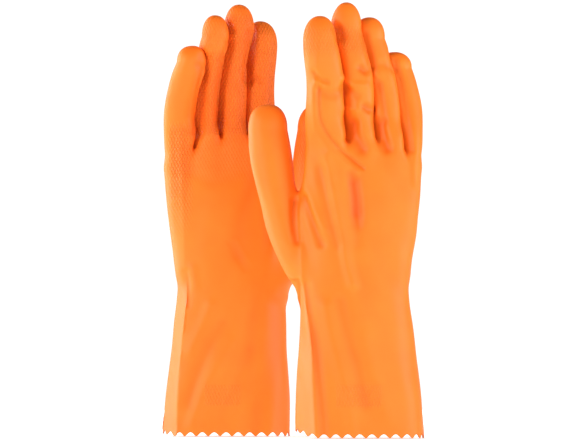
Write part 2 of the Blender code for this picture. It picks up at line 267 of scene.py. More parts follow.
def curve(knots):
    """A smooth function through rows of (position, values...). Each value holds beyond the ends."""
    table = np.array(knots, float)
    at, values = table[:, 0], table[:, 1:]
    slopes = np.gradient(values, at, axis=0)

    def read(q):
        q = np.clip(q, at[0], at[-1])
        i = np.clip(np.searchsorted(at, q) - 1, 0, len(at) - 2)
        gap = at[i + 1] - at[i]
        t = ((q - at[i]) / gap)[:, None]
        gap = gap[:, None]
        return (
            values[i] * (2 * t**3 - 3 * t**2 + 1)
            + slopes[i] * gap * (t**3 - 2 * t**2 + t)
            + values[i + 1] * (3 * t**2 - 2 * t**3)
            + slopes[i + 1] * gap * (t**3 - t**2)
        )

    return read


def ramp(x):
    """0 below 0, 1 above 1, smooth between. So ramp((x - a) / b) rises from a over a length of b."""
    x = np.clip(x, 0.0, 1.0)
    return x * x * (3 - 2 * x)


def soft_min(a, b, reach):
    """The lower of two fields, blended where they differ by less than reach."""
    h = np.maximum(reach - np.abs(a - b), 0.0) / reach
    return np.minimum(a, b) - h * h * reach / 4


def soft_max(a, b, reach):
    return -soft_min(-a, -b, reach)


def tube(p, outline, power, bottom=-1e3, top=1e3, dome=1.0):
    """Rough signed distance to an upright tube of that outline, closed by domes at its bottom and top."""
    z = p[:, 2]
    level = np.clip(z, bottom, top)
    left, right, middle, half = outline(level).T
    q = np.stack([p[:, 0] - (left + right) / 2, p[:, 1] - middle, z - level], 1)
    size = np.stack([(right - left) / 2, half, np.where(z < bottom, ROOT_DOME, dome)], 1)
    share = ((np.abs(q) / size) ** power).sum(1, keepdims=True) ** (1 / power)
    return np.linalg.norm(q, axis=1) * (1 - 1 / np.maximum(share[:, 0], 1e-5))


def slanted(p):
    """The points moved sideways so that upright finger roots become slanted ones, except at the hand's sides."""
    x, y, z = p.T
    amount = ROOT_SLANT * ramp((226 - z) / 16) * ramp((x + 46) / 12) * ramp((40 - x) / 12)
    return np.stack([x + amount * y, y, z], 1)


class GloveShape:
    """The outlines of one glove, and the fields made from them, shrunk by inset. A field is below 0 inside."""

    def __init__(self, index_edge, shorter, overlap, inset):
        index = [(z, left, right + index_edge, y, half) for z, left, right, y, half in INDEX]
        knots = {
            "thumb": THUMB,
            "index_finger": index,
            "middle_finger": MIDDLE,
            "ring_finger": RING,
            "little_finger": LITTLE,
        }
        for name, (left_by, right_by, up_to) in overlap.items():
            tucked = []
            for z, left, right, y, half in knots[name]:
                there = min(max((z - 220) / 14, 0), 1) * min(max((up_to - z) / 10, 0), 1)
                tucked.append((z, left - left_by * there, right + right_by * there, y, half))
            knots[name] = tucked
        self.inset = inset
        self.hand_outline = curve(HAND)
        self.web = curve(WEB_LINE)
        self.outlines = {name: curve(k) for name, k in knots.items()}
        self.roots = {name: k[0][0] for name, k in knots.items()}
        self.tops = {name: k[-1][0] - shorter.get(name, 0) for name, k in knots.items()}

    def hand(self, p):
        body = tube(p, self.hand_outline, HAND_POWER)
        over = p[:, 2] - self.web(slanted(p)[:, 0])[:, 0] + WEB_TILT * p[:, 1]
        return soft_max(body, over, WEB_ROUNDING)

    def digit(self, p, name):
        return tube(p, self.outlines[name], DIGIT_POWER, self.roots[name], self.tops[name], DOMES[name])

    def fingers(self, p, only=None):
        """Each finger's field, pressed flat where it meets its neighbours. Seen from the palm, the finger nearer the
        little finger overlaps the next one."""
        names = DIGITS[1:]
        moved = slanted(p)
        raw = {n: self.digit(moved, n) for n in names}
        z = p[:, 2]
        gap = 0.5 + 1.2 * ramp((227 - z) / 13)
        lean = (0.15 + 0.27 * ramp((250 - z) / 27) - 0.27 * ramp((226 - z) / 16)) * (p[:, 1] + 1.5)
        pressed = {}
        for i, name in enumerate(names):
            if only and name != only:
                continue
            d = raw[name]
            for j in (i - 1, i + 1):
                if 0 <= j < len(names):
                    beside = (raw[name] - raw[names[j]] + gap) / 2
                    d = soft_max(d, beside + (i - j) * lean, GAP_ROUNDING)
            pressed[name] = d
        return pressed

    def palm_and_thumb(self, p):
        return soft_min(self.hand(p), self.digit(p, "thumb"), THUMB_ROUNDING)

    def whole(self, p):
        """The hand, the thumb and the fingers' roots."""
        d = self.palm_and_thumb(p)
        fingers = np.minimum.reduce(list(self.fingers(p).values()))
        fingers = np.where(p[:, 2] < 225, fingers, 50.0)
        return soft_min(d, fingers, ROOT_ROUNDING) + self.inset

    def one(self, p, name):
        """The hand and the thumb with one whole finger."""
        return soft_min(self.palm_and_thumb(p), self.fingers(p, name)[name], ROOT_ROUNDING) + self.inset


# The netted surface


def lattice(low, high, step):
    """The points of an upright lattice, and how many it has each way."""
    axes = [low[a] + step * np.arange(int(math.ceil((high[a] - low[a]) / step)) + 1) for a in range(3)]
    grid = np.stack(np.meshgrid(*axes, indexing="ij"), -1)
    return grid.reshape(-1, 3), grid.shape[:3]


def net_quads(inside):
    """The quads of a surface net, one across each lattice edge that crosses the surface, as ids of cells."""
    shape = inside.shape
    strides = np.array([shape[1] * shape[2], shape[2], 1])
    quads = []
    for axis in range(3):
        one, two = (axis + 1) % 3, (axis + 2) % 3
        count = shape[axis]
        low = inside.take(np.arange(count - 1), axis)
        high = inside.take(np.arange(1, count), axis)
        at = np.argwhere(low != high)
        room = (at[:, one] > 0) & (at[:, two] > 0) & (at[:, one] < shape[one] - 1) & (at[:, two] < shape[two] - 1)
        at = at[room]
        base = at @ strides
        ring = np.stack([base, base - strides[one], base - strides[one] - strides[two], base - strides[two]], 1)
        solid_low = low[at[:, 0], at[:, 1], at[:, 2]]
        quads.append(np.where(solid_low[:, None], ring, ring[:, ::-1]))
    return np.concatenate(quads)


def cell_points(cells, field, low, step):
    """Where the surface passes through each cell: the mean of its crossings with the cell's edges."""
    shape = field.shape
    ijk = np.stack(np.unravel_index(cells, shape), 1)
    corners = np.array([(a, b, c) for a in (0, 1) for b in (0, 1) for c in (0, 1)])
    at = ijk[:, None, :] + corners[None]
    values = field[at[..., 0], at[..., 1], at[..., 2]]
    total, count = np.zeros((len(cells), 3)), np.zeros(len(cells))
    for a in range(8):
        for b in range(a + 1, 8):
            if np.abs(corners[a] - corners[b]).sum() != 1:
                continue
            va, vb = values[:, a], values[:, b]
            crosses = (va < 0) != (vb < 0)
            t = np.where(crosses, va / np.where(crosses, va - vb, 1.0), 0.0)
            point = corners[a] + t[:, None] * (corners[b] - corners[a])
            total += point * crosses[:, None]
            count += crosses
    return np.array(low) + step * (ijk + total / np.maximum(count, 1)[:, None])


def settle(points, field, rounds=2):
    """Moves points onto the field's surface."""
    for _ in range(rounds):
        value = field(points)
        slope = np.zeros_like(points)
        for a in range(3):
            d = np.zeros(3)
            d[a] = PROBE
            slope[:, a] = (field(points + d) - field(points - d)) / (2 * PROBE)
        steep = np.maximum((slope**2).sum(1), 0.2)
        move = -value[:, None] * slope / steep[:, None]
        reach = np.linalg.norm(move, axis=1, keepdims=True)
        points = points + move * np.minimum(1.0, LONGEST_MOVE / np.maximum(reach, 1e-9))
    return points


def corner_normals(points, quads):
    """Area-weighted normals at the points."""
    total = np.zeros_like(points)
    for a, b, c in ((0, 1, 2), (0, 2, 3)):
        n = np.cross(points[quads[:, b]] - points[quads[:, a]], points[quads[:, c]] - points[quads[:, a]])
        for k in (a, b, c):
            np.add.at(total, quads[:, k], n)
    return total / np.maximum(np.linalg.norm(total, axis=1, keepdims=True), 1e-12)


def towards_neighbours(points, quads):
    """From each point to the middle of its neighbours."""
    total, count = np.zeros_like(points), np.zeros(len(points))
    for a, b in ((0, 1), (1, 2), (2, 3), (3, 0)):
        for s, t in ((a, b), (b, a)):
            np.add.at(total, quads[:, s], points[quads[:, t]])
            np.add.at(count, quads[:, s], 1)
    return total / np.maximum(count, 1)[:, None] - points


def even_out(points, quads, fixed, share=0.5):
    """One round of moving each point towards the middle of its neighbours, along the surface only."""
    move = towards_neighbours(points, quads)
    n = corner_normals(points, quads)
    move -= (move * n).sum(1, keepdims=True) * n
    move[fixed] = 0
    return points + share * move


def net_hand(shape, step):
    """Points, quads and a digit number for each quad (0 for the hand), from the top of the cuff to the fingertips."""
    lowest_corner, highest_corner = HAND_REACH
    low = np.array([*lowest_corner, CUFF_TOP - 2 * step])
    grid, size = lattice(low, highest_corner, step)
    field = shape.whole(grid).reshape(size)
    cut = int(round((FINGER_CUT - low[2]) / step))
    thumb_cut = int(round((THUMB_CUT - low[2]) / step))
    quads = net_quads(field < 0)
    i, _, k = np.unravel_index(quads, size)
    x, high, lowest = low[0] + step * i.mean(1), k.max(1), k.min(1)
    thumb = (x > THUMB_SIDE) & (high > thumb_cut) & (lowest >= thumb_cut)
    keep = (lowest >= 1) & ((high <= cut) | (x > THUMB_SIDE))
    quads, thumb = quads[keep], thumb[keep]
    cells, quads = np.unique(quads, return_inverse=True)
    quads = quads.reshape(-1, 4)
    points = settle(cell_points(cells, field, low, step), shape.whole)
    owner = np.where(thumb, 1, 0)
    known = {int(c): n for n, c in enumerate(cells)}
    count = len(points)
    all_points, all_quads, all_owner = [points], [quads], [owner]
    for number, name in enumerate(DIGITS[1:], 2):
        top = shape.tops[name] + DOMES[name] + 3
        left, right, middle, half = shape.outlines[name](np.linspace(FINGER_CUT - 4, shape.tops[name], 30)).T
        first = np.floor((np.array([left.min() - 4, (middle - half).min() - 4, 0]) - low) / step).astype(int)
        first[2] = cut - 2
        block_low = low + first * step
        last = (right.max() + 4, (middle + half).max() + 4, top)
        block, block_size = lattice(block_low, last, step)
        own = shape.one(block, name).reshape(block_size)
        own_quads = net_quads(own < 0)
        k = np.unravel_index(own_quads, block_size)[2] + first[2]
        own_quads = own_quads[(k.min(1) >= cut) & (k.max(1) > cut)]
        own_cells, own_quads = np.unique(own_quads, return_inverse=True)
        own_quads = own_quads.reshape(-1, 4)
        ijk = np.stack(np.unravel_index(own_cells, block_size), 1) + first
        ids = (ijk[:, 0] * size[1] + ijk[:, 1]) * size[2] + ijk[:, 2]
        shared = np.array([known.get(int(c), -1) if z == cut else -1 for c, z in zip(ids, ijk[:, 2])])
        fresh = shared < 0
        made = cell_points(own_cells, own, block_low, step)[fresh]
        made = settle(made, lambda p, name=name: shape.one(p, name))
        number_of = shared.copy()
        number_of[fresh] = count + np.arange(fresh.sum())
        all_points.append(made)
        all_quads.append(number_of[own_quads])
        all_owner.append(np.full(len(own_quads), number))
        count += int(fresh.sum())
    return np.concatenate(all_points), np.concatenate(all_quads), np.concatenate(all_owner)


def relax(shape, points, quads, owner, rounds=2):
    """Evens the net out and settles it again, each digit on its own field."""
    uses = np.zeros(len(points), int)
    np.maximum.at(uses, quads.ravel(), np.repeat(owner, 4))
    lowest = points[:, 2] < CUFF_TOP + 0.2
    for _ in range(rounds):
        points = even_out(points, quads, lowest)
        body = uses <= 1
        points[body] = settle(points[body], shape.whole, 1)
        for number, name in enumerate(DIGITS[1:], 2):
            mine = uses == number
            points[mine] = settle(points[mine], lambda p, name=name: shape.one(p, name), 1)
    return points, uses


# The cuff


def rim_height(turn):
    """The pinked edge: blunt teeth with rounded hollows between them."""
    return TOOTH_DEPTH * np.abs(np.sin(math.pi * turn * TEETH)) ** TOOTH_POWER


def even_turns(outline, columns):
    """Angles that space points evenly along the rim."""
    fine = np.linspace(0, math.tau, 4001)
    left, right, _, half = outline(np.zeros(1))[0]
    c, s = np.cos(fine), np.sin(fine)
    x = (right - left) / 2 * np.sign(c) * np.abs(c) ** (2 / CUFF_POWER)
    y = half * np.sign(s) * np.abs(s) ** (2 / CUFF_POWER)
    run = np.concatenate([[0], np.cumsum(np.hypot(np.diff(x), np.diff(y)))])
    return np.interp(np.arange(columns) / columns * run[-1], run, fine)


def cuff_point(shape, angle, z):
    """Points of the cuff's wall at those angles and heights."""
    left, right, middle, half = shape.hand_outline(z).T
    power = 2 / (CUFF_POWER + (HAND_POWER - CUFF_POWER) * ramp(z / (CUFF_TOP - 4)))
    c, s = np.cos(angle), np.sin(angle)
    x = ((right - left) / 2 - shape.inset) * np.sign(c) * np.abs(c) ** power + (left + right) / 2
    y = (half - shape.inset) * np.sign(s) * np.abs(s) ** power + middle
    return np.stack([x, y, z], 1)


def cuff_rows(shape, columns, spacing, bottom):
    """Rows of points from just under the netted hand down to bottom, or to the pinked rim where bottom is None."""
    angle = even_turns(shape.hand_outline, columns)
    end = RIM_BAND if bottom is None else bottom
    levels = np.arange(CUFF_TOP - 1.5, end, -spacing)
    rows = [cuff_point(shape, angle, np.full(columns, z)) for z in levels]
    if bottom is None:
        rim = rim_height(np.arange(columns) / columns)
        for t in np.linspace(0, 1, int(RIM_BAND / spacing) + 3):
            rows.append(cuff_point(shape, angle, RIM_BAND + (rim - RIM_BAND) * t))
    else:
        rows.append(cuff_point(shape, angle, np.full(columns, float(bottom))))
    return rows


def zip_rings(upper, upper_turn, lower, lower_turn):
    """Triangles between two rings sorted by angle."""
    faces, i, j = [], 0, 0
    n, m = len(upper), len(lower)
    while i < n or j < m:
        next_upper = upper_turn[(i + 1) % n] + (math.tau if i + 1 >= n else 0)
        next_lower = lower_turn[(j + 1) % m] + (math.tau if j + 1 >= m else 0)
        if j >= m or (i < n and next_upper <= next_lower):
            faces.append((lower[j % m], upper[(i + 1) % n], upper[i]))
            i += 1
        else:
            faces.append((lower[j % m], lower[(j + 1) % m], upper[i % n]))
            j += 1
    return np.array(faces)


def turn_order(points):
    """The points' angles round the cuff, in rising order, and the order itself."""
    turn = np.arctan2(points[:, 1], points[:, 0] - CUFF_MIDDLE)
    order = np.argsort(turn)
    return turn[order], order


def edge_ring(quads, points, under):
    """The points of the net's open edge below a height, in order of angle, and their angles."""
    a = quads.ravel()
    b = np.roll(quads, -1, 1).ravel()
    key = np.minimum(a, b).astype(np.int64) * len(points) + np.maximum(a, b)
    _, first, count = np.unique(key, return_index=True, return_counts=True)
    open_edges = first[count == 1]
    ring = np.unique(np.concatenate([a[open_edges], b[open_edges]]))
    ring = ring[points[ring, 2] < under]
    turn, order = turn_order(points[ring])
    return ring[order], turn


def build_surface(shape, step, columns, spacing, bottom):
    """The whole outer surface of one glove. Returns points, quads (a triangle repeats its last corner), owners and
    the numbers of the lowest rows' points."""
    points, quads, owner = net_hand(shape, step)
    points, uses = relax(shape, points, quads, owner)
    ring, ring_turn = edge_ring(quads, points, CUFF_TOP + 2 * step)
    rows = cuff_rows(shape, columns, spacing, bottom)
    base = len(points)
    numbers = [base + k * columns + np.arange(columns) for k in range(len(rows))]
    turn, order = turn_order(rows[0])
    zipped = zip_rings(ring, ring_turn, numbers[0][order], turn)
    faces = [quads, np.concatenate([zipped, zipped[:, 2:]], 1)]
    for upper, lower in zip(numbers, numbers[1:]):
        faces.append(np.stack([lower, np.roll(lower, -1), np.roll(upper, -1), upper], 1))
    made = np.concatenate(faces)
    owner = np.concatenate([owner, np.zeros(len(made) - len(owner), int)])
    points = np.concatenate([points] + rows)
    uses = np.concatenate([uses, np.zeros(len(points) - len(uses), int)])
    return points, made, owner, uses, numbers


# Folds and wrinkles


def stroke(points, line):
    """Squared distance of each point from a line of (x, z) points."""
    nearest = np.full(len(points), 1e9)
    flat = points[:, [0, 2]]
    for a, b in zip(line, line[1:]):
        a, b = np.array(a, float), np.array(b, float)
        run = b - a
        t = np.clip((flat - a) @ run / (run @ run), 0, 1)
        nearest = np.minimum(nearest, ((flat - a - t[:, None] * run) ** 2).sum(1))
    return nearest


def smooth_stroke(line):
    """The same line with its corners rounded, as more points."""
    line = np.array(line, float)
    if len(line) < 3:
        return line
    at = np.arange(len(line))
    read = curve(np.column_stack([at, line]))
    return read(np.linspace(0, len(line) - 1, 4 * (len(line) - 1) + 1))


def line_x(line, z):
    """Where a rising line of (x, z) points is at each height."""
    return np.interp(z, line[:, 1], line[:, 0])


def ridge_height(points, normals, ridges):
    """Sharp ridges, which fall away on both sides from their line."""
    push = np.zeros(len(points))
    for side, left, right, height, line in ridges:
        line = smooth_stroke(line)
        away = points[:, 0] - line_x(line, points[:, 2])
        ends = ramp((line[-1, 1] - points[:, 2]) / 16) * ramp((points[:, 2] - line[0, 1]) / 16)
        shape = np.exp(-np.abs(away) / np.where(away < 0, left, right))
        push += height * ends * shape * ramp((side * normals[:, 1] + 0.25) / 0.5)
    return push


def flatten_side(shape, points, facet):
    """Draws the surface straight from a sharp corner to the outline on one side of the cuff."""
    side, edge, width, height, rise, line = facet
    line = smooth_stroke(line)
    x, y, z = points.T
    corner = line_x(line, z)
    left, right, _, half = shape.hand_outline(z).T
    centre, reach = (left + right) / 2, (right - left) / 2
    share = np.clip(np.abs(corner - centre) / reach, 0, 0.98)
    deep = half * (1 - share**CUFF_POWER) ** (1 / CUFF_POWER) + height
    outline = np.where(edge > 0, right, left)
    along = np.clip((x - corner) / (outline - corner), 0, 1)
    fade_end, fade = FACET_FADE
    weight = ramp((fade_end - z) / fade) * ramp((side * y + 1.0) / 3.0)
    straight = side * (deep * (1 - along) + 1.5 * along - 2.6 * shape.inset)
    inner = side * height * np.exp((FACET_SHARPNESS - np.hypot(x - corner, FACET_SHARPNESS)) / width)
    beyond = (x - corner) * edge > 0
    moved = np.where(beyond, y + (straight - y) * weight, y + inner * weight)
    raised = z + rise * along**1.3 * np.clip(1 - z / 30, 0, 1)
    return np.stack([x, moved, raised], 1)


def soften_corner(points, quads, facet):
    """Rounds the flat side's corner a little, which also evens out its steps from the lattice."""
    line = smooth_stroke(facet[-1])
    x, y, z = points.T
    weight = np.exp(-(((x - line_x(line, z)) / CORNER_WIDTH) ** 2))
    weight *= ramp((128 - z) / 12) * ramp((z - 4) / 5) * ramp(facet[0] * y / 4)
    for _ in range(2):
        points = points + 0.6 * weight[:, None] * towards_neighbours(points, quads)
    return points


def fold_height(points, normals, folds, seed):
    """How far the folds, the knuckles and the skin's own unevenness push each point outwards."""
    push = np.zeros(len(points))
    for side, width, height, line in folds:
        facing = ramp((side * normals[:, 1] + 0.15) / 0.5)
        push += height * facing * np.exp(-stroke(points, smooth_stroke(line)) / width**2)
    random = np.random.RandomState(seed)
    for _ in range(WAVES):
        direction = random.normal(size=3) * WAVE_PITCH
        push += WAVE_HEIGHT * np.sin(points @ direction * random.uniform(0.6, 2.0) + random.uniform(0, math.tau))
    calm = ramp(points[:, 2] / 6.0) * 0.6 + 0.4
    return np.clip(push * calm, DEEPEST_PUSH, HIGHEST_PUSH)


# Pieces


def grip_marks(shape, prefix, points, normals, uses):
    """For the material: a coordinate that runs round each digit, the height, and how raised the grip is there, which
    also sets how much painted shade its grooves get. The second result is how much of the cuff's embossed patch is
    there."""
    x, _, z = points.T
    across = x.copy()
    for number, name in enumerate(DIGITS, 1):
        left, right, _, _ = shape.outlines[name](np.minimum(z, shape.tops[name])).T
        centre, width = (left + right) / 2, (right - left) / 2
        round_it = centre + width * np.arcsin(np.clip((x - centre) / width, -1, 1))
        cut = THUMB_CUT if number == 1 else FINGER_CUT
        share = ramp((z - cut + 12) / 12) * (uses == number)
        across += (round_it - across) * share
    palm = ramp((-normals[:, 1] + 0.08) / 0.45)
    little_end = ramp((228 - z) / 14)
    upper_palm = 0.3 * ramp((z - 172) / 25) * ramp((x + 38) / 8)
    outer_palm = ramp((-21 - x) / 9) * ramp((x + 42) / 5) * ramp((z - 135) / 60) * little_end
    mark = np.maximum(upper_palm, outer_palm)
    for number, lowest, highest, amount in GRIP:
        there = (uses == number) * ramp((z - lowest) / 20) * ramp((highest - z) / 10) * amount
        mark = np.maximum(mark, there)
    mark = np.where(uses == 5, little_end * mark, mark) * palm
    tips = ramp((z - 264) / 10) * ramp((292 - z) / 8) * ((uses == 2) | (uses == 3))
    mark = np.maximum(mark, 0.4 * (1 - palm) * tips)
    side, (x0, x1), (z0, z1) = PATCH[prefix]
    inside = np.ones(len(points))
    for reach in (x - x0, x1 - x, z - z0, z1 - z):
        inside *= ramp(reach / PATCH_EDGE)
    patch = inside * ramp(side * normals[:, 1] * 4 - 1)
    return np.stack([across, z, mark], 1), patch


def make_piece(name, prefix, points, normals, quads, uses, painted_fold_shade, shape, material):
    """An object of some of the quads, in its place, with what the material reads from its points."""
    used, local = np.unique(quads, return_inverse=True)
    local = local.reshape(-1, 4)
    p, n = points[used], normals[used]
    world = p * MM * turn_of[prefix] + place_of[prefix]
    faces = [f[:3] if f[2] == f[3] else f for f in local.tolist()]
    mesh = bpy.data.meshes.new(name)
    mesh.from_pydata(world.tolist(), [], faces)
    mesh.shade_smooth()
    grip, patch = grip_marks(shape, prefix, p, n, uses[used])
    for label, kind, values in (
        ("rest", "FLOAT_VECTOR", p),
        ("grip", "FLOAT_VECTOR", grip),
        ("patch", "FLOAT", patch),
        ("painted_fold_shade", "FLOAT", painted_fold_shade[used]),
    ):
        attribute = mesh.attributes.new(label, kind, "POINT")
        attribute.data.foreach_set("vector" if kind != "FLOAT" else "value", values.astype(np.float32).ravel())
    mesh.normals_split_custom_set_from_vertices((n * turn_of[prefix]).tolist())
    mesh.materials.append(material)
    made = bpy.data.objects.new(name, mesh)
    bpy.context.collection.objects.link(made)
    return made


def attach(piece, prefix, digit, suffix):
    """Rides on the glove, or, for a digit, stays baked where it was made."""
    if digit is None:
        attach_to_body(piece, f"{prefix}_glove")
        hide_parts(f"{prefix}_cuff{suffix}", f"{prefix}_hand{suffix}")
    else:
        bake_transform(piece)
        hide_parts(f"{prefix}_{digit}{suffix}")


def add_inner_wall(points, normals, quads, owner, uses, numbers):
    """Turns the skin in at the rim and carries it up inside, to just above the lining's lower edge."""
    rows = [r for r in numbers if points[r, 2].mean() < INNER_WALL_TOP][::-1]
    base, columns = len(points), len(rows[0])
    inner = np.concatenate([points[r] - normals[r] * SKIN_WALL for r in rows])
    inside = [base + k * columns + np.arange(columns) for k in range(len(rows))]
    faces = [np.stack([inside[0], np.roll(inside[0], -1), np.roll(rows[0], -1), rows[0]], 1)]
    for low, high in zip(inside, inside[1:]):
        faces.append(np.stack([high, np.roll(high, -1), np.roll(low, -1), low], 1))
    faces = np.concatenate(faces)
    points = np.concatenate([points, inner])
    normals = np.concatenate([normals, -np.concatenate([normals[r] for r in rows])])
    quads = np.concatenate([quads, faces])
    owner = np.concatenate([owner, np.zeros(len(faces), int)])
    uses = np.concatenate([uses, np.zeros(len(inner), int)])
    return points, normals, quads, owner, uses


def make_layer(prefix, suffix, inset, step, columns, spacing, bottom, material, slot):
    """The skin or the lining of one glove, as a piece for the hand and cuff and one for each digit."""
    glove = GLOVES[prefix]
    facet = glove["facet"]
    shape = GloveShape(glove["index_edge"], glove["shorter"], glove["overlap"], inset)
    points, quads, owner, uses, numbers = build_surface(shape, step, columns, spacing, bottom)
    points = soften_corner(flatten_side(shape, points, facet), quads, facet)
    normals = corner_normals(points, quads)
    push = fold_height(points, normals, glove["folds"], glove["seed"])
    push = push + ridge_height(points, normals, glove["ridges"])
    # Painted shade in the folds: the deeper a fold is pressed in, the darker and redder its colour.
    painted_fold_shade = np.clip(-push / FOLD_SHADE_DEPTH, 0, 1)
    heights = points[:, 2].copy()
    points = points + normals * push[:, None]
    low = points[:, 2] < CUFF_TOP
    points[low, 2] = heights[low]
    normals = corner_normals(points, quads)
    if bottom is None:
        points, normals, quads, owner, uses = add_inner_wall(points, normals, quads, owner, uses, numbers)
        painted_fold_shade = np.concatenate([painted_fold_shade, np.zeros(len(points) - len(painted_fold_shade))])
    else:
        triangle = quads[:, 2] == quads[:, 3]
        quads, normals = quads[:, [2, 1, 0, 3]], -normals
        quads[triangle, 3] = quads[triangle, 2]
    for number, digit in enumerate((None,) + DIGITS):
        mine = quads[owner == number]
        name = f"{prefix}_{digit or 'hand_and_cuff'}_{slot}"
        piece = make_piece(name, prefix, points, normals, mine, uses, painted_fold_shade, shape, material)
        attach(piece, prefix, digit, suffix)


# Materials


def new_material(name):
    made = bpy.data.materials.new(name)
    made.use_nodes = True
    nodes = made.node_tree.nodes
    return made, nodes, made.node_tree.links, nodes["Principled BSDF"]


def node(nodes, kind, **values):
    made = nodes.new(kind)
    for key, value in values.items():
        setattr(made, key, value)
    return made


def maths(nodes, links, operation, a, b):
    made = node(nodes, "ShaderNodeMath", operation=operation)
    for socket, value in zip(made.inputs, (a, b)):
        if isinstance(value, (int, float)):
            socket.default_value = value
        else:
            links.new(value, socket)
    return made.outputs[0]


def noise(nodes, links, vector, scale, detail=3.0, rough=0.5):
    made = node(nodes, "ShaderNodeTexNoise")
    made.inputs["Scale"].default_value = scale
    made.inputs["Detail"].default_value = detail
    made.inputs["Roughness"].default_value = rough
    links.new(vector, made.inputs["Vector"])
    return made.outputs["Fac"]


def lozenges(nodes, links, u, v, wide, tall):
    """0 in the grooves of a net of lozenges, rising to 1 on each lozenge."""
    a = maths(nodes, links, "DIVIDE", u, wide)
    b = maths(nodes, links, "DIVIDE", v, tall)
    sides = []
    for operation in ("ADD", "SUBTRACT"):
        run = maths(nodes, links, operation, a, b)
        sides.append(maths(nodes, links, "PINGPONG", run, 0.5))
    low = maths(nodes, links, "MINIMUM", *sides)
    ramped = node(nodes, "ShaderNodeMapRange", interpolation_type="SMOOTHSTEP")
    ramped.inputs["From Min"].default_value = 0.04
    ramped.inputs["From Max"].default_value = 0.30
    links.new(low, ramped.inputs["Value"])
    return ramped.outputs["Result"]


def latex():
    """Matt orange latex: raised grip lozenges with painted shade in their grooves and in the embossed patch's grooves,
    painted shade in the folds, and a fine grain.
    """
    made, nodes, links, shader = new_material("orange_latex_look")
    rest = node(nodes, "ShaderNodeAttribute", attribute_name="rest").outputs["Vector"]
    grip = node(nodes, "ShaderNodeAttribute", attribute_name="grip").outputs["Vector"]
    patch = node(nodes, "ShaderNodeAttribute", attribute_name="patch").outputs["Fac"]
    painted_fold_shade = node(nodes, "ShaderNodeAttribute", attribute_name="painted_fold_shade").outputs["Fac"]
    parts = node(nodes, "ShaderNodeSeparateXYZ")
    links.new(grip, parts.inputs[0])
    u, v, mark = parts.outputs

    blotch = noise(nodes, links, rest, 0.045, 3.0)
    speck = noise(nodes, links, rest, 1.6, 4.0, 0.6)
    relief = lozenges(nodes, links, u, v, 2.3, 4.6)
    embossed = lozenges(nodes, links, u, v, 2.3, 5.0)

    colour = node(nodes, "ShaderNodeValToRGB")
    colour.color_ramp.elements[0].position, colour.color_ramp.elements[1].position = 0.30, 0.72
    colour.color_ramp.elements[0].color = (0.93, 0.172, 0.008, 1)
    colour.color_ramp.elements[1].color = (0.95, 0.192, 0.010, 1)
    links.new(blotch, colour.inputs[0])

    # Painted shade in the grooves of the grip and of the embossed patch: the colour is multiplied darker where the
    # relief is low.
    grip_groove_shade = maths(nodes, links, "MULTIPLY", maths(nodes, links, "SUBTRACT", 1.0, relief), mark)
    patch_groove_shade = maths(nodes, links, "MULTIPLY", maths(nodes, links, "SUBTRACT", 1.0, embossed), patch)
    patch_groove_shade = maths(nodes, links, "MULTIPLY", patch_groove_shade, 0.35)
    shade = maths(nodes, links, "MULTIPLY", maths(nodes, links, "ADD", grip_groove_shade, patch_groove_shade), 0.32)
    groove_shade_mix = node(nodes, "ShaderNodeMix", data_type="RGBA", blend_type="MULTIPLY")
    groove_shade_mix.inputs["B"].default_value = (0.86, 0.52, 0.30, 1)
    links.new(shade, groove_shade_mix.inputs["Factor"])
    links.new(colour.outputs["Color"], groove_shade_mix.inputs["A"])
    # Painted shade: the colour in the folds is multiplied down by how deep each fold is.
    fold_shade_mix = node(nodes, "ShaderNodeMix", data_type="RGBA", blend_type="MULTIPLY")
    fold_shade_mix.inputs["B"].default_value = (0.78, 0.50, 0.15, 1)
    links.new(painted_fold_shade, fold_shade_mix.inputs["Factor"])
    links.new(groove_shade_mix.outputs["Result"], fold_shade_mix.inputs["A"])
    links.new(fold_shade_mix.outputs["Result"], shader.inputs["Base Color"])

    rough = node(nodes, "ShaderNodeMapRange")
    rough.inputs["To Min"].default_value, rough.inputs["To Max"].default_value = 0.46, 0.58
    links.new(speck, rough.inputs["Value"])
    links.new(rough.outputs["Result"], shader.inputs["Roughness"])

    raised = maths(nodes, links, "MULTIPLY", relief, mark)
    raised = maths(nodes, links, "MULTIPLY", raised, 0.6)
    stamped = maths(nodes, links, "MULTIPLY", maths(nodes, links, "MULTIPLY", embossed, patch), 0.22)
    grain = maths(nodes, links, "MULTIPLY", speck, 0.035)
    height = maths(nodes, links, "ADD", maths(nodes, links, "ADD", raised, stamped), grain)
    bump = node(nodes, "ShaderNodeBump")
    bump.inputs["Strength"].default_value = 1.0
    bump.inputs["Distance"].default_value = 0.001
    links.new(height, bump.inputs["Height"])
    links.new(bump.outputs["Normal"], shader.inputs["Normal"])

    shader.inputs["Specular IOR Level"].default_value = 0.28
    return made


def flock():
    """Short cotton fibres in a paler orange."""
    made, nodes, links, shader = new_material("cotton_flock_look")
    rest = node(nodes, "ShaderNodeAttribute", attribute_name="rest").outputs["Vector"]
    fibre = noise(nodes, links, rest, 2.6, 6.0, 0.75)
    tuft = noise(nodes, links, rest, 0.35, 3.0)
    colour = node(nodes, "ShaderNodeValToRGB")
    colour.color_ramp.elements[0].position, colour.color_ramp.elements[1].position = 0.3, 0.7
    colour.color_ramp.elements[0].color = (0.93, 0.42, 0.16, 1)
    colour.color_ramp.elements[1].color = (1.0, 0.62, 0.36, 1)
    links.new(fibre, colour.inputs[0])
    links.new(colour.outputs["Color"], shader.inputs["Base Color"])
    height = maths(nodes, links, "ADD", fibre, maths(nodes, links, "MULTIPLY", tuft, 1.5))
    bump = node(nodes, "ShaderNodeBump")
    bump.inputs["Strength"].default_value = 0.9
    bump.inputs["Distance"].default_value = 0.0004
    links.new(height, bump.inputs["Height"])
    links.new(bump.outputs["Normal"], shader.inputs["Normal"])
    shader.inputs["Roughness"].default_value = 0.95
    shader.inputs["Sheen Weight"].default_value = 0.7
    shader.inputs["Sheen Roughness"].default_value = 0.5
    return made


# The gloves

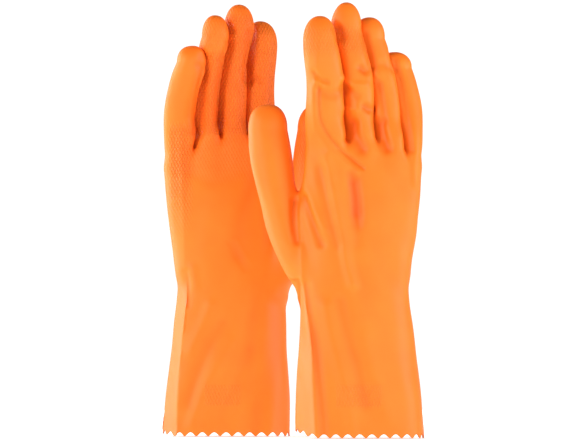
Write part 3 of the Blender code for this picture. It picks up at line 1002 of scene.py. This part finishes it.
# What differs between the two gloves. index_edge moves the index finger's outer edge, shorter lowers a fingertip, and
# overlap is how far a finger's hidden edge reaches behind its neighbour: to the left, to the right, up to what height.
GLOVES = {
    "palm_out": {
        "folds": PALM_OUT_FOLDS,
        "ridges": PALM_OUT_RIDGES,
        "facet": PALM_OUT_FACET,
        "seed": 3,
        "index_edge": -3.4,
        "shorter": {"index_finger": 2.3},
        "overlap": {"index_finger": (3.0, 0, 300), "middle_finger": (2.6, 0, 288), "ring_finger": (2.6, 0, 270)},
    },
    "back_out": {
        "folds": BACK_OUT_FOLDS,
        "ridges": BACK_OUT_RIDGES,
        "facet": BACK_OUT_FACET,
        "seed": 8,
        "index_edge": 0.0,
        "shorter": {"little_finger": 5.0, "ring_finger": 2.0},
        "overlap": {"middle_finger": (0, 2.6, 288), "ring_finger": (0, 2.6, 300), "little_finger": (0, 2.6, 300)},
    },
}
turn_of, place_of = {}, {}
for prefix, sign in (("palm_out", 1.0), ("back_out", -1.0)):
    low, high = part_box(f"{prefix}_cuff")
    turn_of[prefix] = np.array([sign, sign, 1.0])
    place_of[prefix] = np.array([(low.x + high.x) / 2, (low.y + high.y) / 2, low.z])

latex_look, flock_look = latex(), flock()
for prefix in GLOVES:
    make_layer(prefix, "", 0.0, SKIN_STEP, SKIN_COLUMNS, SKIN_ROW, None, latex_look, "orange_latex")
    make_layer(
        prefix,
        "_lining",
        LINING_INSET,
        LINING_STEP,
        LINING_COLUMNS,
        LINING_ROW,
        LINING_START,
        flock_look,
        "cotton_flock",
    )


# The studio, in metres

LIGHT_TARGET = (0, 0, 0.16)
FLOOR_HALF = 1.5
FLOOR_HEIGHT = -0.0003

def area_light(name, place, size, power):
    """A square softbox that faces the gloves."""
    data = bpy.data.lights.new(name, "AREA")
    data.shape = "SQUARE"
    data.size = size
    data.energy = power
    made = bpy.data.objects.new(name, data)
    bpy.context.collection.objects.link(made)
    made.location = place
    made.rotation_euler = (Vector(LIGHT_TARGET) - Vector(place)).to_track_quat("-Z", "Y").to_euler()


def floor():
    """A pale floor, which glows more far away so that its edge doesn't show against the world."""
    corners = ((-1, -1), (1, -1), (1, 1), (-1, 1))
    points = [(x * FLOOR_HALF, y * FLOOR_HALF, FLOOR_HEIGHT) for x, y in corners]
    mesh = bpy.data.meshes.new("studio_floor")
    mesh.from_pydata(points, [], [(0, 1, 2, 3)])
    made = bpy.data.objects.new("studio_floor", mesh)
    bpy.context.collection.objects.link(made)
    look, nodes, links, shader = new_material("studio_floor_look")
    shader.inputs["Base Color"].default_value = (0.95, 0.95, 0.95, 1)
    shader.inputs["Roughness"].default_value = 0.9
    shader.inputs["Emission Color"].default_value = (1, 1, 1, 1)
    away = node(nodes, "ShaderNodeVectorMath", operation="LENGTH")
    links.new(node(nodes, "ShaderNodeTexCoord").outputs["Object"], away.inputs[0])
    glow = node(nodes, "ShaderNodeMapRange")
    glow.inputs["From Min"].default_value, glow.inputs["From Max"].default_value = 0.3, 1.2
    glow.inputs["To Min"].default_value, glow.inputs["To Max"].default_value = 0.5, 1.0
    links.new(away.outputs["Value"], glow.inputs["Value"])
    links.new(glow.outputs["Result"], shader.inputs["Emission Strength"])
    mesh.materials.append(look)


def studio_world():
    """White behind the object and dim elsewhere."""
    made = bpy.data.worlds.new("studio")
    made.use_nodes = True
    nodes, links = made.node_tree.nodes, made.node_tree.links
    way = node(nodes, "ShaderNodeSeparateXYZ")
    links.new(node(nodes, "ShaderNodeTexCoord").outputs["Generated"], way.inputs[0])
    behind = node(nodes, "ShaderNodeMapRange", interpolation_type="SMOOTHSTEP")
    behind.inputs["From Min"].default_value, behind.inputs["From Max"].default_value = 0.90, 0.985
    behind.inputs["To Min"].default_value, behind.inputs["To Max"].default_value = 0.22, 1.08
    links.new(way.outputs["Y"], behind.inputs["Value"])
    links.new(behind.outputs["Result"], nodes["Background"].inputs["Strength"])
    nodes["Background"].inputs["Color"].default_value = (1, 1, 1, 1)
    bpy.context.scene.world = made


floor()
studio_world()
area_light("side_softbox", (-1.2, 0.5, 0.35), 1.2, 23)
area_light("key_softbox", (-1.6, -1.25, 0.75), 0.6, 24)
area_light("right_softbox", (1.5, -0.4, 0.45), 0.8, 17)
area_light("front_softbox", (0.75, -1.9, 0.5), 0.8, 11)
bpy.context.scene.view_settings.view_transform = "Standard"

CAMERA_DISTANCE, CAMERA_RISE = 12.0, math.radians(0.1)
PICTURE_WIDTH, AIM = 0.4134, Vector((0.0009, 0.0, 0.1522))
SENSOR_WIDTH = 36.0
camera_data = bpy.data.cameras.new("camera")
camera_data.sensor_width = SENSOR_WIDTH
camera_data.lens = SENSOR_WIDTH * CAMERA_DISTANCE / PICTURE_WIDTH
camera_data.clip_end = 50
camera = bpy.data.objects.new("camera", camera_data)
bpy.context.collection.objects.link(camera)
camera.location = AIM + Vector((0, -math.cos(CAMERA_RISE), math.sin(CAMERA_RISE))) * CAMERA_DISTANCE
camera.rotation_euler = (AIM - camera.location).to_track_quat("-Z", "Y").to_euler()
bpy.context.scene.camera = camera
